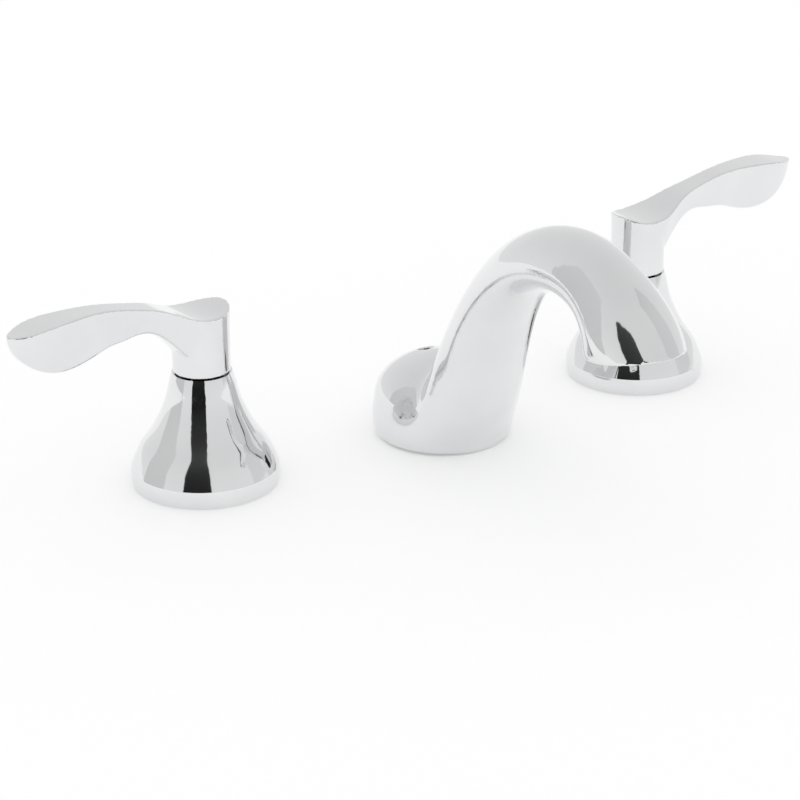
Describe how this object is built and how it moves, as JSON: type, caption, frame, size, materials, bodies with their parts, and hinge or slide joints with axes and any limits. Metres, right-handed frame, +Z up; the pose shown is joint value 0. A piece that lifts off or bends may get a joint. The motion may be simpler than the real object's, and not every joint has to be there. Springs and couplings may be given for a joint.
{
  "type": "widespread bathroom faucet",
  "caption": "Widespread basin faucet: an arched spout on a domed round base between lever handles on flared bell escutcheons, with valves, washers and nuts below the deck.",
  "frame": {"origin": "on the deck's upper face, midway between the turning axes of the two handles", "axes": "+Z up, -Y the way the spout points, -X towards the hot handle and +X towards the cold handle"},
  "size_m": [0.3663, 0.1812, 0.1866],
  "materials": {
    "polished_chrome": "mirror-polished chrome plate",
    "raw_brass": "machined brass, uncoated",
    "bare_copper": "bright-drawn copper tube",
    "plain_steel": "plain stainless steel",
    "black_rubber": "matte black rubber",
    "ceramic": "polished white ceramic",
    "white_plastic": "moulded white plastic"
  },
  "bodies": {
    "faucet_base": {"hot_escutcheon": "polished_chrome", "hot_escutcheon_seal": "black_rubber", "hot_valve_body": "raw_brass", "hot_cartridge_body": "raw_brass", "hot_fixed_disc": "ceramic", "hot_seat_seal": "black_rubber", "hot_upper_nut": "raw_brass", "hot_rubber_washer": "black_rubber", "hot_steel_washer": "plain_steel", "hot_lock_nut": "raw_brass", "cold_escutcheon": "polished_chrome", "cold_escutcheon_seal": "black_rubber", "cold_valve_body": "raw_brass", "cold_cartridge_body": "raw_brass", "cold_fixed_disc": "ceramic", "cold_seat_seal": "black_rubber", "cold_upper_nut": "raw_brass", "cold_rubber_washer": "black_rubber", "cold_steel_washer": "plain_steel", "cold_lock_nut": "raw_brass", "spout_body": "polished_chrome", "spout_gasket": "black_rubber", "spout_shank": "raw_brass", "spout_rubber_washer": "black_rubber", "spout_steel_plate": "plain_steel", "spout_lock_nut": "raw_brass", "spout_tee": "raw_brass", "aerator_housing": "polished_chrome", "aerator_insert": "white_plastic", "aerator_washer": "black_rubber", "hot_link_tube": "bare_copper", "hot_tube_valve_nut": "raw_brass", "hot_tube_tee_nut": "raw_brass", "cold_link_tube": "bare_copper", "cold_tube_valve_nut": "raw_brass", "cold_tube_tee_nut": "raw_brass"},
    "hot_lever": {"hot_handle": "polished_chrome", "hot_set_screw": "plain_steel", "hot_cartridge_stem": "raw_brass", "hot_stem_o_ring": "black_rubber", "hot_stem_clip": "plain_steel", "hot_moving_disc": "ceramic"},
    "cold_lever": {"cold_handle": "polished_chrome", "cold_set_screw": "plain_steel", "cold_cartridge_stem": "raw_brass", "cold_stem_o_ring": "black_rubber", "cold_stem_clip": "plain_steel", "cold_moving_disc": "ceramic"}
  },
  "joints": [
    {"name": "hot_handle_turn", "type": "hinge", "parent": "faucet_base", "child": "hot_lever", "pos_m": [-0.1016, 0, 0.0455], "axis": [0, 0, 1], "range_deg": [0, 90]},
    {"name": "cold_handle_turn", "type": "hinge", "parent": "faucet_base", "child": "cold_lever", "pos_m": [0.1016, 0, 0.0455], "axis": [0, 0, 1], "range_deg": [-90, 0]}
  ]
}
